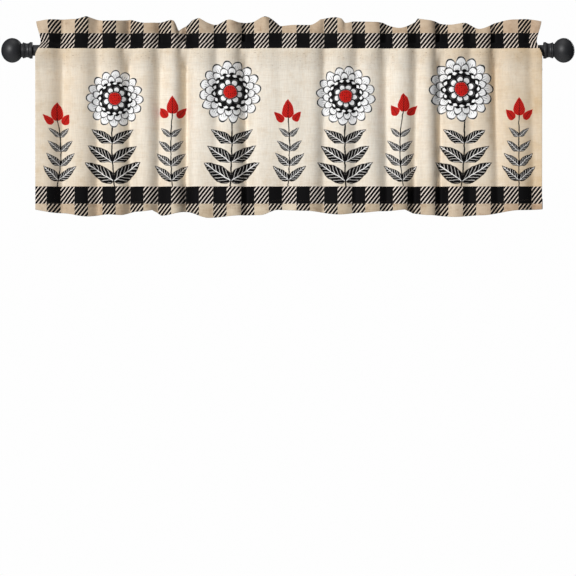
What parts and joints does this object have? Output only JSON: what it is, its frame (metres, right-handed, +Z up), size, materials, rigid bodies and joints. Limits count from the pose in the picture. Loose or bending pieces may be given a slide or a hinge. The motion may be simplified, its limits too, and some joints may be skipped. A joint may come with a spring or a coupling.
{
  "type": "window valance on curtain rod",
  "caption": "Gathered rod-pocket valance with a standing header, soft upright folds and checked borders, hung on a straight round curtain rod with ball finials.",
  "frame": {"origin": "on the rod's axis at the middle of its length", "axes": "+X along the rod to the right as seen from the room, -Y out of the wall into the room, +Z up"},
  "size_m": [1.3424, 0.0615, 0.4729],
  "materials": {
    "printed_cloth": "matt printed plain weave",
    "black_rod_paint": "satin black",
    "black_finial_paint": "satin black"
  },
  "bodies": {
    "root": {"valance_cloth": "printed_cloth", "rod": "black_rod_paint", "finial_left": "black_finial_paint", "finial_right": "black_finial_paint"}
  },
  "joints": []
}
